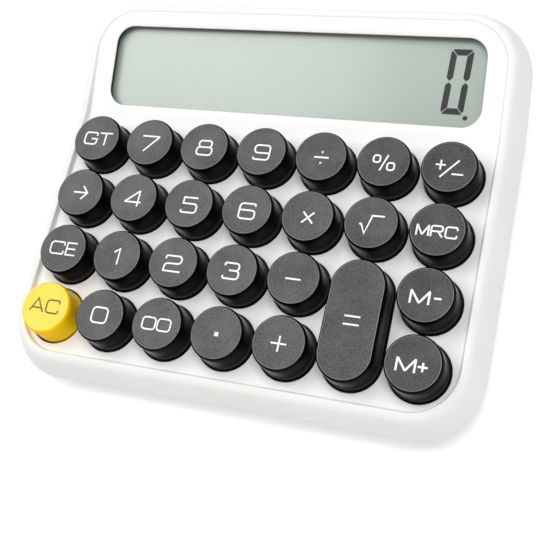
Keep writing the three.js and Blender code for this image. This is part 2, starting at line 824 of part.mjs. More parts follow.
const baseFrame = new THREE.Group();
baseFrame.add(piece('battery_door', batteryDoor(), whiteBase));
cellRows.forEach((y, row) => {
  const battery = piece(`battery_${row === 0 ? 'front' : 'rear'}`, cell(), cellJacket);
  battery.position.set(0, y, cellCentre);
  battery.rotation.z = row === 0 ? 0 : Math.PI;
  baseFrame.add(battery);
});
const contacts = {
  bridge: contact(-1, [{ row: 0, spring: true }, { row: 1, spring: false }]),
  positive: contact(1, [{ row: 0, spring: false }]),
  negative: contact(1, [{ row: 1, spring: true }]),
};
for (const [name, shape] of Object.entries(contacts)) {
  baseFrame.add(piece(`battery_contact_${name}`, shape, brightSteel));
}
const footShape = foot();
for (const { name, x, y } of feet) {
  const pad = piece(`rubber_foot_${name}`, footShape, greyRubber);
  pad.position.set(x, y, 0);
  baseFrame.add(pad);
}

const calculator = new THREE.Group();
calculator.add(keyboardFrame);
calculator.add(baseFrame);
calculator.updateMatrixWorld(true);
const bounds = new THREE.Box3().setFromObject(calculator, true);
calculator.position.set(0, -(bounds.min.y + bounds.max.y) / 2, -bounds.min.z);

export default calculator;
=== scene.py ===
"""A desktop calculator with round keys and a tilted display, dressed for its studio picture."""

import math

import bmesh
import bpy
from mathutils import Matrix, Vector


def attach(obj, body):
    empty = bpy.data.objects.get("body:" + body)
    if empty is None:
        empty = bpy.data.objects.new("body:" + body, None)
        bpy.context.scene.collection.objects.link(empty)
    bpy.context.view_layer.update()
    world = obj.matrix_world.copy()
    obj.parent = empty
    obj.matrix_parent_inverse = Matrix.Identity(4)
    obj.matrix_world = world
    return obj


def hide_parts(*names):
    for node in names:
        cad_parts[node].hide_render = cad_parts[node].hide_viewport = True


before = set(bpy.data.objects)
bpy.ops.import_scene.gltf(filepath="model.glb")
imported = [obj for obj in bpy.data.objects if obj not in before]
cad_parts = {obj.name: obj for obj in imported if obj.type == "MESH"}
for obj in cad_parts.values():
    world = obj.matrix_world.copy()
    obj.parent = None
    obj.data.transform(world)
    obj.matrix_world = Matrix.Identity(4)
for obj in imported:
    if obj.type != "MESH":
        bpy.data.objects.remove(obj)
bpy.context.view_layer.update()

# ---------------------------------------------------------------------------
# Upper housing
# One moulding in white ABS with a faint spark-eroded grain. Its wall flares out towards the parting line,
# and its rim stands round a recess that holds the keys and bends up behind them under the display.

DECK_TILT = math.radians(5)
DECK_PLACE = (0, 0.0107178, 0.0228662)
RECESS_HALF = 0.0685
RECESS_FRONT = -0.06895
RECESS_REAR = 0.0471037
RECESS_CORNER = 0.0135
# An outline holds half its width, its front, its rear and the radius of its corners
RECESS_OUTLINE = (RECESS_HALF, RECESS_FRONT, RECESS_REAR, RECESS_CORNER)
CORNER_STEPS = 14
RIM_TOP = 0.0019
WALL_FOOT = -0.0068
FOOT_OFFSET = 0.0059
FOOT_ROUND = 0.0007
SHELL_WALL = 0.002
BEND_AT = 0.012
BEND_SOFT = 0.003
BEND_CUTS = 3
RIM_SLOPE = 0.24
DISPLAY_SLOPE = 0.285
KEY_PITCH = 0.01905
HOLE_RADIUS = 0.0089
HOLE_ROUND = 0.0003
HOLE_DEPTH = 0.004
WINDOW_OUTLINE = (0.062, 0.00415, 0.03115, 0.006)
BEVEL_WIDTH = 0.0024
REBATE_WIDTH = 0.0029
REBATE_FOOT = -0.003
REBATE_TOP = -0.0009
SKIN = 0.00001
NEAR = 1e-6
UPRIGHT = 0.99


def only(piece):
    """Selects one object, and nothing else."""
    bpy.ops.object.select_all(action="DESELECT")
    piece.select_set(True)
    bpy.context.view_layer.objects.active = piece


def settle():
    """Keeps the place and size of the selected object in its mesh."""
    bpy.ops.object.transform_apply(location=True, rotation=True, scale=True)


def place(piece, matrix):
    """Puts a finished piece at its place."""
    only(piece)
    piece.matrix_world = matrix
    settle()


def added(name):
    """The primitive that was just added, settled and named."""
    piece = bpy.context.object
    piece.name = name
    settle()
    return piece


def edit_all():
    """Enters edit mode with everything selected."""
    bpy.ops.object.mode_set(mode="EDIT")
    bpy.ops.mesh.select_all(action="SELECT")


def leave_edit():
    bpy.ops.object.mode_set(mode="OBJECT")


def select_faces(piece, test):
    """Selects the faces whose middle and normal pass a test, in edit mode."""
    mesh = bmesh.from_edit_mesh(piece.data)
    for face in mesh.faces:
        face.select_set(False)
    bpy.context.tool_settings.mesh_select_mode = (False, False, True)
    for face in mesh.faces:
        if test(face.calc_center_median(), face.normal):
            face.select_set(True)
    bmesh.update_edit_mesh(piece.data)


def rounded_slab(name, outline, margin, low, high):
    """A slab wider than an outline by a margin, its upright edges rounded; it is left in edit mode."""
    half, front, rear, corner = outline
    half, front, rear, corner = half + margin, front - margin, rear + margin, corner + margin
    bpy.ops.object.select_all(action="DESELECT")
    bpy.ops.mesh.primitive_cube_add(
        size=1,
        location=(0, (front + rear) / 2, (low + high) / 2),
        scale=(2 * half, rear - front, high - low),
    )
    piece = added(name)
    bpy.ops.object.mode_set(mode="EDIT")
    bpy.context.tool_settings.mesh_select_mode = (False, True, False)
    bpy.ops.mesh.select_all(action="DESELECT")
    mesh = bmesh.from_edit_mesh(piece.data)
    for edge in mesh.edges:
        start, end = (corner_point.co for corner_point in edge.verts)
        edge.select_set(abs(start.z - end.z) > (high - low) / 2)
    bmesh.update_edit_mesh(piece.data)
    bpy.ops.mesh.bevel(offset=corner, offset_type="OFFSET", segments=CORNER_STEPS, clamp_overlap=False)
    return piece


def ring_levels(piece, facing, levels):
    """Steps the top or bottom face inwards, level by level; a level is an offset and a height."""
    offset, height = levels[0]
    select_faces(piece, lambda middle, normal: normal.z * facing > UPRIGHT and abs(middle.z - height) < NEAR)
    for next_offset, next_height in levels[1:]:
        bpy.ops.mesh.inset(
            thickness=offset - next_offset,
            depth=(next_height - height) * facing,
            use_even_offset=True,
        )
        offset, height = next_offset, next_height


def arc(middle, radius, first, last, steps):
    """Points on an arc, as offsets and heights, from one angle in degrees to another."""
    angles = [math.radians(first + (last - first) * step / steps) for step in range(steps + 1)]
    return [(middle[0] + radius * math.cos(a), middle[1] + radius * math.sin(a)) for a in angles]


def curve_through(start, control, end, steps):
    """Points on a curve that leaves the start towards the control point and comes from it to the end."""
    points = []
    for step in range(steps + 1):
        t = step / steps
        weights = ((1 - t) ** 2, 2 * t * (1 - t), t * t)
        points.append(tuple(sum(w * p[i] for w, p in zip(weights, (start, control, end))) for i in (0, 1)))
    return points


def bend_rise(y):
    """How far the body has risen at a place behind the bend, for a slope of one."""
    run = y - BEND_AT
    if run < -BEND_SOFT:
        return 0
    if run > BEND_SOFT:
        return run
    return (run + BEND_SOFT) ** 2 / (4 * BEND_SOFT)


def bend_cuts(piece):
    """Cuts the whole mesh across the bend, so that it can turn smoothly there."""
    bpy.ops.mesh.select_all(action="SELECT")
    for step in range(-BEND_CUTS, BEND_CUTS + 1):
        place_on_bend = (0, BEND_AT + BEND_SOFT * step / BEND_CUTS, 0)
        bpy.ops.mesh.bisect(plane_co=place_on_bend, plane_no=(0, 1, 0), threshold=1e-8)
        bpy.ops.mesh.select_all(action="SELECT")


def rim_distance(point):
    """Distance of a point outside the recess outline, negative inside it."""
    middle = (RECESS_FRONT + RECESS_REAR) / 2
    half_depth = (RECESS_REAR - RECESS_FRONT) / 2
    across = abs(point.x) - (RECESS_HALF - RECESS_CORNER)
    along = abs(point.y - middle) - (half_depth - RECESS_CORNER)
    outside = math.hypot(max(across, 0), max(along, 0))
    return outside + min(max(across, along), 0) - RECESS_CORNER


def drawn_up(name, profile, sides=64, stretch=0):
    """A round piece: a disc drawn up and widened level by level, then pulled apart for a long one."""
    radius, height = profile[0]
    bpy.ops.object.select_all(action="DESELECT")
    bpy.ops.mesh.primitive_circle_add(
        vertices=sides,
        radius=radius,
        fill_type="NGON",
        location=(0, 0, height),
        rotation=(0, 0, math.pi / sides),
    )
    piece = added(name)
    edit_all()
    for next_radius, next_height in profile[1:]:
        bpy.ops.mesh.extrude_region_move(TRANSFORM_OT_translate={"value": (0, 0, next_height - height)})
        grow = next_radius / radius
        bpy.ops.transform.resize(value=(grow, grow, 1), center_override=(0, 0, 0))
        radius, height = next_radius, next_height
    bpy.ops.mesh.select_all(action="SELECT")
    bpy.ops.mesh.normals_make_consistent(inside=False)
    leave_edit()
    for vertex in piece.data.vertices:
        vertex.co.y += math.copysign(stretch / 2, vertex.co.y)
    return piece


def copy_to(piece, name, matrix):
    """A copy with its own mesh, at its own place."""
    twin = piece.copy()
    twin.data = piece.data.copy()
    twin.name = name
    twin.data.transform(matrix)
    bpy.context.scene.collection.objects.link(twin)
    return twin


def join(pieces):
    """Joins several objects into the first."""
    bpy.ops.object.select_all(action="DESELECT")
    for piece in pieces:
        piece.select_set(True)
    bpy.context.view_layer.objects.active = pieces[0]
    bpy.ops.object.join()
    return pieces[0]


def cut(piece, cutter, operation="DIFFERENCE"):
    """Takes a cutter out of a piece, or adds it, and deletes the cutter."""
    only(piece)
    tool = piece.modifiers.new("cut", "BOOLEAN")
    tool.operation = operation
    tool.solver = "EXACT"
    tool.object = cutter
    bpy.ops.object.modifier_apply(modifier=tool.name)
    bpy.data.objects.remove(cutter)


def smooth(piece, degrees):
    """Shades a piece smooth, apart from its real edges."""
    only(piece)
    bpy.ops.object.shade_smooth_by_angle(angle=math.radians(degrees))


def mark(piece, name, test):
    """Gives each face a share that its material can read: one where it passes a test, or else nothing."""
    share = piece.data.attributes.new(name, "FLOAT", "FACE")
    for index, face in enumerate(piece.data.polygons):
        share.data[index].value = float(test(face))


KEY_NAMES = (
    ("grand_total", "seven", "eight", "nine", "divide", "percent", "sign_change"),
    ("backspace", "four", "five", "six", "multiply", "square_root", "memory_recall"),
    ("clear_entry", "one", "two", "three", "minus", "equals", "memory_minus"),
    ("all_clear", "zero", "double_zero", "point", "plus", None, "memory_plus"),
)
TALL_KEY = "equals"
KEY_PLACES = {}
for row, names in enumerate(KEY_NAMES):
    for column, name in enumerate(names):
        if name:
            drop = KEY_PITCH / 2 if name == TALL_KEY else 0
            KEY_PLACES[name] = Vector(((column - 3) * KEY_PITCH, -row * KEY_PITCH - drop, 0))

foot_edge = arc((FOOT_OFFSET - FOOT_ROUND, WALL_FOOT), FOOT_ROUND, 0, -90, 4)
outer_wall = curve_through((FOOT_OFFSET, WALL_FOOT), (0.00479, -0.0032), (0.002771, 0.0003), 8)
shoulder = arc((0, -0.0013), 0.0032, 30, 84, 9)
rim_edge = arc((0.00035, 0.0014), 0.0005, 90, 180, 6)
deck_fillet = arc((-0.0009, 0.0005), 0.0005, 0, -90, 5)
upper = rounded_slab("upper_shell", RECESS_OUTLINE, FOOT_OFFSET, WALL_FOOT - SKIN, WALL_FOOT)
ring_levels(upper, 1, outer_wall + shoulder[1:] + rim_edge + deck_fillet)
underside = [(FOOT_OFFSET, WALL_FOOT - SKIN)] + foot_edge[1:]
ring_levels(upper, -1, underside + [(FOOT_OFFSET - SHELL_WALL, foot_edge[-1][1]), (0.00155, -SHELL_WALL)])
bend_cuts(upper)
leave_edit()
for vertex in upper.data.vertices:
    point = vertex.co
    rise = bend_rise(point.y)
    if abs(point.z + SHELL_WALL) < NEAR:
        slope = DISPLAY_SLOPE
    elif rim_distance(point) < rim_edge[0][0] - NEAR and point.z > -NEAR:
        slope = DISPLAY_SLOPE + (RIM_SLOPE - DISPLAY_SLOPE) * point.z / RIM_TOP
    else:
        slope = RIM_SLOPE
    vertex.co.z += slope * rise

hole_profile = [(HOLE_RADIUS, -HOLE_DEPTH)] + [
    (HOLE_RADIUS + HOLE_ROUND * (1 - math.cos(a)), -HOLE_ROUND * (1 - math.sin(a)))
    for a in (math.radians(30 * step) for step in range(4))
]
hole_profile.append((HOLE_RADIUS + HOLE_ROUND, 0.001))
round_hole = drawn_up("round_hole", hole_profile)
long_hole = drawn_up("long_hole", hole_profile, stretch=KEY_PITCH)
holes = []
for name, middle in KEY_PLACES.items():
    template = long_hole if name == TALL_KEY else round_hole
    holes.append(copy_to(template, "hole_" + name, Matrix.Translation(middle)))
cut(upper, join(holes))
for template in (round_hole, long_hole):
    bpy.data.objects.remove(template)

DISPLAY_FRAME = Matrix.Translation((0, BEND_AT, 0)) @ Matrix.Rotation(math.atan(DISPLAY_SLOPE), 4, "X")
window = rounded_slab("window_cutter", WINDOW_OUTLINE, BEVEL_WIDTH, 2 * SKIN, SHELL_WALL)
window_bevel = [(0, 2 * SKIN), (0, 0), (-0.0005, -0.00004), (-0.001, -0.00014), (-0.0015, -0.00027)]
window_bevel += [(-0.002, -0.00041), (-0.00225, -0.00051), (-0.00236, -0.00063), (-BEVEL_WIDTH, -0.00078)]
ring_levels(window, -1, window_bevel + [(-BEVEL_WIDTH + 1e-7, -0.0011)])
leave_edit()
rebate = rounded_slab("window_rebate", WINDOW_OUTLINE, REBATE_WIDTH, REBATE_FOOT, REBATE_TOP)
leave_edit()
for cutter in (window, rebate):
    cutter.data.transform(DISPLAY_FRAME)
    cut(upper, cutter)
smooth(upper, 20)
# The recess share picks the faces that get the whiter colour: painted light for the deck that the keys shade
mark(upper, "recess", lambda face: rim_distance(face.center) < -0.0001)
DECK_FRAME = Matrix.Translation(DECK_PLACE) @ Matrix.Rotation(DECK_TILT, 4, "X")
place(upper, DECK_FRAME)


class Wire:
    """A value inside a material, which takes part in sums like a number."""

    def __init__(self, finish, socket):
        self.finish = finish
        self.socket = socket

    def sum(self, operation, *others):
        return self.finish.node("ShaderNodeMath", {"operation": operation}, dict(enumerate((self, *others))))

    def __add__(self, other):
        return self.sum("ADD", other)

    def __mul__(self, other):
        return self.sum("MULTIPLY", other)

    def __sub__(self, other):
        return self.sum("SUBTRACT", other)

    def __rsub__(self, other):
        return (self * -1) + other

    def __pow__(self, other):
        return self.sum("POWER", other)

    def above(self, edge):
        return self.sum("GREATER_THAN", edge)


class Finish:
    """One material, built round its Principled shader."""

    def __init__(self, name, **sockets):
        self.material = bpy.data.materials.new(name)
        self.material.use_nodes = True
        self.tree = self.material.node_tree
        self.shader = self.tree.nodes["Principled BSDF"]
        self.coat(**sockets)

    def feed(self, socket, value):
        if isinstance(value, Wire):
            self.tree.links.new(value.socket, socket)
        else:
            socket.default_value = value

    def node(self, kind, settings, sockets, output=0):
        made = self.tree.nodes.new(kind)
        for name, value in settings.items():
            setattr(made, name, value)
        for name, value in sockets.items():
            self.feed(made.inputs[name], value)
        return Wire(self, made.outputs[output])

    def coat(self, **sockets):
        for name, value in sockets.items():
            self.feed(self.shader.inputs[name.replace("_", " ")], value)

    def place(self):
        return self.node("ShaderNodeTexCoord", {}, {}, "Object")

    def along(self, axis):
        """The place along one axis of the scene, in metres."""
        return self.node("ShaderNodeSeparateXYZ", {}, {0: self.place()}, "XYZ".index(axis))

    def turned(self):
        """How far the surface is turned away from the eye, from nothing to one."""
        return self.node("ShaderNodeLayerWeight", {}, {"Blend": 0.5}, "Facing")

    def share(self, name):
        """The share that mark() gave to the faces of a piece, or nothing on a piece without it."""
        return self.node("ShaderNodeAttribute", {"attribute_name": name}, {}, "Fac")

    def noise(self, grains_per_metre, detail=2, roughness=0.5):
        values = {"Vector": self.place(), "Scale": grains_per_metre, "Detail": detail, "Roughness": roughness}
        return self.node("ShaderNodeTexNoise", {}, values)

    def spread(self, value, low, high, to_low=0.0, to_high=1.0):
        values = {0: value, 1: low, 2: high, 3: to_low, 4: to_high}
        return self.node("ShaderNodeMapRange", {}, values)

    def between(self, noise, low, high):
        """Spreads the usual range of a noise over two values."""
        return self.spread(noise, 0.3, 0.7, low, high)

    def blend(self, factor, first, second):
        return self.node("ShaderNodeMix", {"data_type": "RGBA"}, {0: factor, 6: first, 7: second}, 2)

    def grain(self, height, metres):
        values = {"Height": height, "Distance": metres, "Strength": 1.0}
        self.feed(self.shader.inputs["Normal"], self.node("ShaderNodeBump", {}, values))


def paint(piece, finish):
    """Gives a whole piece one material."""
    piece.data.materials.clear()
    piece.data.materials.append(finish.material)


def white_plastic(name, pale, shade, inside=None):
    """Moulded white plastic: fine grain, faint waves in its tone, and a whiter colour inside the recess,
    painted light that lifts the deck where the keys shade it.
    """
    finish = Finish(name, IOR=1.5, Specular_IOR_Level=0.3)
    waves = finish.noise(55, 3)
    fine = finish.noise(2600, 2, 0.6)
    outside = finish.blend(finish.spread(waves, 0.35, 0.7), pale, shade)
    finish.coat(
        # Inside the recess the colour is whiter: painted light that lifts the deck where the keys shade it
        Base_Color=finish.blend(finish.share("recess"), outside, inside or shade),
        Roughness=finish.between(fine, 0.4, 0.5),
    )
    finish.grain(fine, 0.000012)
    return finish


# The third colour is the whiter recess: painted light that lifts the deck where the keys shade it
shell_white = white_plastic(
    "shell_white", (0.806, 0.804, 0.788, 1), (0.786, 0.784, 0.766, 1), (0.854, 0.852, 0.838, 1)
)
paint(upper, shell_white)
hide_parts("upper_housing")
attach(upper, "housing")

# ---------------------------------------------------------------------------
# Keycaps
# Twenty-seven caps moulded in ABS, all black but one in yellow, with nearly straight flanks, a flared foot
# and a grained, faintly dished top. Each is hollow and presses onto the square slider of its switch.

CAP_FOOT = -0.0014
CAP_HEIGHT = 0.00865
CAP_SIDE = 0.00818
CAP_TOP = 0.00762
CAP_WALL = 0.0012
ROUND_OUT = 0.0006
ROUND_UP = 0.0012
ROUND_START = CAP_HEIGHT - 0.00125
TOP_EDGE = 0.00004
HOLLOW_DRAFT = 0.001
HOLLOW_DEPTH = 0.0083
SLIDER_HALF = 0.0023
SLIDER_FOOT = -0.003
SLIDER_TOP = 0.0079
DISH_RADIUS = 0.00738
DISH_STEP = 0.00004
DISH_DEPTH = 0.00012
FLARE_TOP = 0.0019
FLARE_FULL = 0.0011
FLARE_FOOT = 0.0002


def dish(radius):
    """How far the top of a cap lies below its edge, at a distance from its middle."""
    return DISH_STEP + DISH_DEPTH * max(1 - (radius / DISH_RADIUS) ** 2, 0)


def block(name, low, high, edge=0, steps=3):
    """A box between two corners, its edges rounded where a size is given."""
    bpy.ops.object.select_all(action="DESELECT")
    middle = [(a + b) / 2 for a, b in zip(low, high)]
    bpy.ops.mesh.primitive_cube_add(size=1, location=middle, scale=[b - a for a, b in zip(low, high)])
    piece = added(name)
    if edge:
        edit_all()
        bpy.ops.mesh.bevel(offset=edge, segments=steps)
        leave_edit()
    return piece


cap_profile = [(0.0083, CAP_FOOT), (0.00842, -0.0012), (0.00842, 0.00015), (0.0084, 0.00035)]
cap_profile += [(0.00833, 0.00065), (0.00826, 0.001), (0.0082, 0.0015), (0.00816, 0.0022)]
cap_profile += [(0.00815, 0.0036), (0.00816, 0.0055)]
for angle in (math.radians(degrees) for degrees in (5, 16, 27, 38, 49, 60, 70, 78)):
    radius = CAP_SIDE - ROUND_OUT + ROUND_OUT * math.cos(angle)
    cap_profile.append((radius, ROUND_START + ROUND_UP * math.sin(angle)))
cap_profile += [(CAP_TOP, CAP_HEIGHT - TOP_EDGE / 2), (CAP_TOP - TOP_EDGE, CAP_HEIGHT)]
cap_profile += [(DISH_RADIUS + TOP_EDGE, CAP_HEIGHT), (DISH_RADIUS, CAP_HEIGHT - DISH_STEP)]
for radius in (0.0067, 0.006, 0.005, 0.0038, 0.0022, 0.0008):
    cap_profile.append((radius, CAP_HEIGHT - dish(radius)))


def on_top(face):
    """Whether a face belongs to the dish of a cap, its step or the inner part of its edge."""
    in_step = face.normal.z > 0.6 and face.center.z > CAP_HEIGHT - DISH_STEP
    return (face.normal.z > 0.97 or in_step) and face.center.z > CAP_HEIGHT - 0.0002


def keycap(name, stretch):
    """A cap with its hollow and its slider."""
    cap = drawn_up(name, cap_profile, 64, stretch)
    only(cap)
    bpy.ops.object.mode_set(mode="EDIT")
    select_faces(cap, lambda middle, normal: normal.z < -UPRIGHT and middle.z < CAP_FOOT + 0.0001)
    bpy.ops.mesh.inset(thickness=CAP_WALL, depth=0, use_even_offset=True)
    bpy.ops.mesh.inset(thickness=HOLLOW_DRAFT, depth=-HOLLOW_DEPTH, use_even_offset=True)
    leave_edit()
    smooth(cap, 32)
    # The top share marks the faces that are painted lighter as a painted sheen
    mark(cap, "top", on_top)
    half = SLIDER_HALF
    return join([cap, block("slider", (-half, -half, SLIDER_FOOT), (half, half, SLIDER_TOP), 0.0003, 2)])


def cap_plastic(name, flank, dark, light, rim_painted_highlight):
    """Keycap plastic: deep in the smooth flanks, and painted lighter on top as a painted sheen, mottled by
    its grain, with a painted highlight round the edge of the top.
    """
    finish = Finish(name, IOR=1.45, Specular_IOR_Level=0.05, Coat_Roughness=0.28, Coat_IOR=1.5)
    grain = finish.noise(3600, 2, 0.6)
    wear = finish.noise(120, 2)
    speckle = finish.spread(grain * 0.75 + wear * 0.25, 0.36, 0.64)
    level = finish.along("Z") * math.cos(DECK_TILT) - finish.along("Y") * math.sin(DECK_TILT)
    deck = DECK_PLACE[2] * math.cos(DECK_TILT) - DECK_PLACE[1] * math.sin(DECK_TILT)
    top = finish.share("top")
    # The highest ring of the top gets a lighter colour: a painted highlight along the edge of the top
    edge = finish.spread(level, deck + CAP_HEIGHT - 0.00003, deck + CAP_HEIGHT - 0.00001)
    flare = finish.spread(level, deck + FLARE_TOP, deck + FLARE_FULL)
    flare = flare * finish.spread(level, deck + FLARE_FOOT, deck + 2 * FLARE_FOOT)
    turned = finish.turned()
    # The flanks mirror only what they meet at a glance, and the grain of the top loses its sheen there
    glance = finish.spread(turned, 0.68, 0.96) * (1 - top)
    sheen = finish.spread(speckle, 0, 1, 0.45, 1.05) * finish.spread(turned, 0.25, 0.65, 1, 0.12)
    # The top is painted lighter than the flank: a painted sheen, mottled by the real grain
    top_painted_sheen = finish.blend(edge, finish.blend(speckle, dark, light), rim_painted_highlight)
    finish.coat(
        Base_Color=finish.blend(top, flank, top_painted_sheen),
        Roughness=finish.between(wear, 0.42, 0.52),
        Coat_Weight=top * sheen + flare * 0.6 + glance,
    )
    finish.grain(grain, 0.00002)
    return finish


# The tops are painted lighter than the flanks as a painted sheen, and the edge of each top lighter still as a
# painted highlight
cap_black = cap_plastic(
    "cap_black",
    flank=(0.0015, 0.0015, 0.0015, 1),
    dark=(0.009, 0.0095, 0.0092, 1),
    light=(0.05, 0.052, 0.05, 1),
    # The light grey along the edge of the top is a painted highlight
    rim_painted_highlight=(0.13, 0.13, 0.13, 1),
)
cap_yellow = cap_plastic(
    "cap_yellow",
    flank=(0.98, 0.55, 0.002, 1),
    dark=(0.86, 0.59, 0.02, 1),
    light=(0.91, 0.64, 0.04, 1),
    # The paler yellow along the edge of the top is a painted highlight
    rim_painted_highlight=(0.95, 0.68, 0.08, 1),
)
cap_yellow.coat(Subsurface_Weight=0.5, Subsurface_Scale=0.003)
round_cap = keycap("round_cap", 0)
long_cap = keycap("long_cap", KEY_PITCH)
for name, middle in KEY_PLACES.items():
    template = long_cap if name == TALL_KEY else round_cap
    cap = copy_to(template, "cap_" + name, DECK_FRAME @ Matrix.Translation(middle))
    yellow = name == "all_clear"
    paint(cap, cap_yellow if yellow else cap_black)
    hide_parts("key_" + name)
    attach(cap, "key_" + name)
for template in (round_cap, long_cap):
    bpy.data.objects.remove(template)

# ---------------------------------------------------------------------------
# Legends
# Plain numbers and signs in a thin film of white ink, printed by pad on the finished caps; the letters on
# the yellow cap are dark. Each is drawn with strokes of one width, in millimetres from the middle of its cap.

INK_RISE = 0.00002
INK_LIFT = 0.000003
LEGEND_SHIFT = Vector((0.06, -0.22))
CURVE_STEPS = 6
CURVE_PULL = 0.552


def rounded_path(points, corner, closed):
    """A path whose corners are rounded by a curve close to an arc, of a given size in millimetres."""
    count = len(points)
    path = []
    for index, point in enumerate(points):
        here = Vector(point[:2])
        size = point[2] if len(point) > 2 else corner
        if not closed and index in (0, count - 1) or size == 0:
            path.append(here)
            continue
        before = Vector(points[index - 1][:2])
        after = Vector(points[(index + 1) % count][:2])
        size = min(size, (before - here).length / 2, (after - here).length / 2)
        start = here + (before - here).normalized() * size
        end = here + (after - here).normalized() * size
        first = start.lerp(here, CURVE_PULL) * 3
        second = end.lerp(here, CURVE_PULL) * 3
        for t in (step / CURVE_STEPS for step in range(CURVE_STEPS + 1)):
            u = 1 - t
            path.append(start * u**3 + first * t * u**2 + second * t**2 * u + end * t**3)
    return path


def ring(x, y, half_width, half_height, corner):
    """The strokes of a rounded box round a middle."""
    corners = [(-1, -1), (1, -1), (1, 1), (-1, 1)]
    return ([(x + half_width * i, y + half_height * j) for i, j in corners], corner, True)


def line(*points, corner=0):
    """A stroke through points; a third value of a point is the size of its own corner."""
    return (list(points), corner, False)


def letter_m(left, right, low, high):
    middle = (left + right) / 2
    return [line((left, low), (left, high), (middle, low + 0.3), (right, high), (right, low), corner=0.25)]


def letter_c(left, right, low, high, corner):
    tick = (high - low) * 0.27
    upper_end = ((right, high - tick), (right, high), (left, high))
    lower_end = ((left, low), (right, low), (right, low + tick))
    return [line(*upper_end, *lower_end, corner=corner)]


BOLD = 0.6
FINE = 0.52
SLIM = 0.5
THIN = 0.47
LEGENDS = {
    "grand_total": (FINE, [line((-0.15, 1.05), (-0.15, 2.05), (-4.3, 2.05), (-4.3, -2), (0.05, -2),
                                (0.05, -0.1, 0), (-1.9, -0.1), corner=1),
                           line((0.8, 2.05), (5.3, 2.1)), line((3.05, 2.05), (3.05, -2.15))]),
    "seven": (FINE, [line((-2.82, 2.3), (3.15, 2.3), (-1.5, -2.9), corner=0.35)]),
    "eight": (FINE, [ring(0.25, 1.2, 2.1, 1.1, 0.95), ring(0.25, -1.2, 2.55, 1.3, 1.05)]),
    "nine": (FINE, [line((-2.2, -1.7), (-2.2, -2.45), (2.7, -2.45), (2.7, 2.3), (-2.2, 2.3), (-2.2, -0.25),
                         (2.7, -0.25), corner=1.05)]),
    "divide": (FINE, [line((-2.1, -0.1), (2.4, -0.1)), line((0.15, 1.3), (0.15, 1.9)),
                      line((0.15, -1.6), (0.15, -2.2))]),
    "percent": (SLIM, [ring(-2.15, 0.95, 1, 1.1, 0.75), ring(2.3, -1.2, 1.05, 1.15, 0.75),
                       line((1.05, 2.3), (-0.8, -2.65))]),
    "sign_change": (SLIM, [line((-3.95, 0.7), (-1.1, 0.7)), line((-2.5, 2.2), (-2.5, -0.85)),
                           line((2.6, 2.4), (-2.25, -3.12)), line((1, -1.95), (4.3, -1.95))]),
    "backspace": (FINE, [line((-2.45, 0.15), (2.4, 0.15)), line((0.55, 2.4), (2.5, 0.15), (0.55, -2.1))]),
    "four": (FINE, [line((1.75, -2.55), (1.75, 2.65), (-2.7, -1.2), (2.8, -1.2), corner=0.2)]),
    "five": (FINE, [line((2.65, 2.15), (-1.9, 2.15, 0), (-1.9, 0.2, 0), (2.75, 0.2), (2.75, -2.7),
                         (-2.2, -2.7), (-2.2, -1.85), corner=1.05)]),
    "six": (FINE, [line((2.5, 1.35), (2.5, 2.15), (-2.35, 2.15), (-2.35, -2.7), (2.7, -2.7), (2.7, 0.05),
                        (-2.35, 0.05), corner=1.05)]),
    "multiply": (FINE, [line((-1.5, 1.4), (1.85, -1.95)), line((-1.5, -1.95), (1.85, 1.4))]),
    "square_root": (SLIM, [line((-3.4, -0.5), (-2.8, -0.35), (-1.5, -3.2), (0.05, 2.3), (3.65, 2.35))]),
    "memory_recall": (SLIM, letter_m(-5.8, -2.5, -1.95, 1.25)
                      + [line((-1.75, -1.95), (-1.75, 1.25), (1.4, 1.25), (1.4, -0.35), (-1.75, -0.35),
                              corner=0.6),
                         line((0.2, -0.4), (1.5, -1.95))]
                      + letter_c(2.3, 5.45, -1.95, 1.25, 0.8)),
    "clear_entry": (THIN, letter_c(-4.5, 0.2, -1.7, 2.2, 1.05)
                    + [line((4.6, 2.2), (1.2, 2.2), (1.2, -1.7), (4.6, -1.7)),
                       line((1.2, 0.25), (4.3, 0.25))]),
    "one": (FINE, [line((-1.15, 1.1), (0.6, 2.35), (0.6, -2.7))]),
    "two": (FINE, [line((-2.6, 1.2), (-2.6, 2.25), (2.65, 2.25), (2.65, -0.05), (-2.65, -0.2),
                        (-2.65, -2.55, 0), (2.85, -2.55), corner=1.05)]),
    "three": (FINE, [line((-2.4, 1.4), (-2.4, 2.3), (2.1, 2.3), (2.1, 0.05), (-0.9, 0.05), corner=0.95),
                     line((-0.9, 0.05), (2.35, 0.05), (2.35, -2.5), (-2.5, -2.5), (-2.5, -1.6),
                          corner=1.05)]),
    "minus": (FINE, [line((-2.4, -0.1), (2.25, -0.1))]),
    "equals": (FINE, [line((-2.1, 1.05), (2.45, 1.05)), line((-2.1, -1.3), (2.45, -1.3))]),
    "memory_minus": (BOLD, letter_m(-4.05, 1.05, -2.5, 1.25) + [line((2.4, -0.45), (4.4, -0.45))]),
    "all_clear": (0.46, [line((-5.15, -1.6), (-3.05, 2.65), (-0.55, -1.6)),
                         line((-4.45, -0.35), (-1.2, -0.35))]
                  + letter_c(0.3, 4.6, -1.5, 2.55, 1.05)),
    "zero": (FINE, [ring(-0.1, 0.2, 2.55, 2.35, 1.25)]),
    "double_zero": (THIN, [ring(-2.55, 0.1, 2.1, 1.8, 1.05), ring(2.35, 0.1, 2.1, 1.8, 1.05)]),
    "point": (1.2, [line((-0.5, -0.1), (0.7, -0.1))]),
    "plus": (FINE, [line((-2.3, -0.05), (2.3, -0.05)), line((0.05, 2.2), (0.05, -2.4))]),
    "memory_plus": (BOLD, letter_m(-4.4, 0.6, -2.35, 1.35) + [line((1.35, -0.5), (4.05, -0.5)),
                                                             line((2.7, 0.75), (2.7, -1.75))]),
}


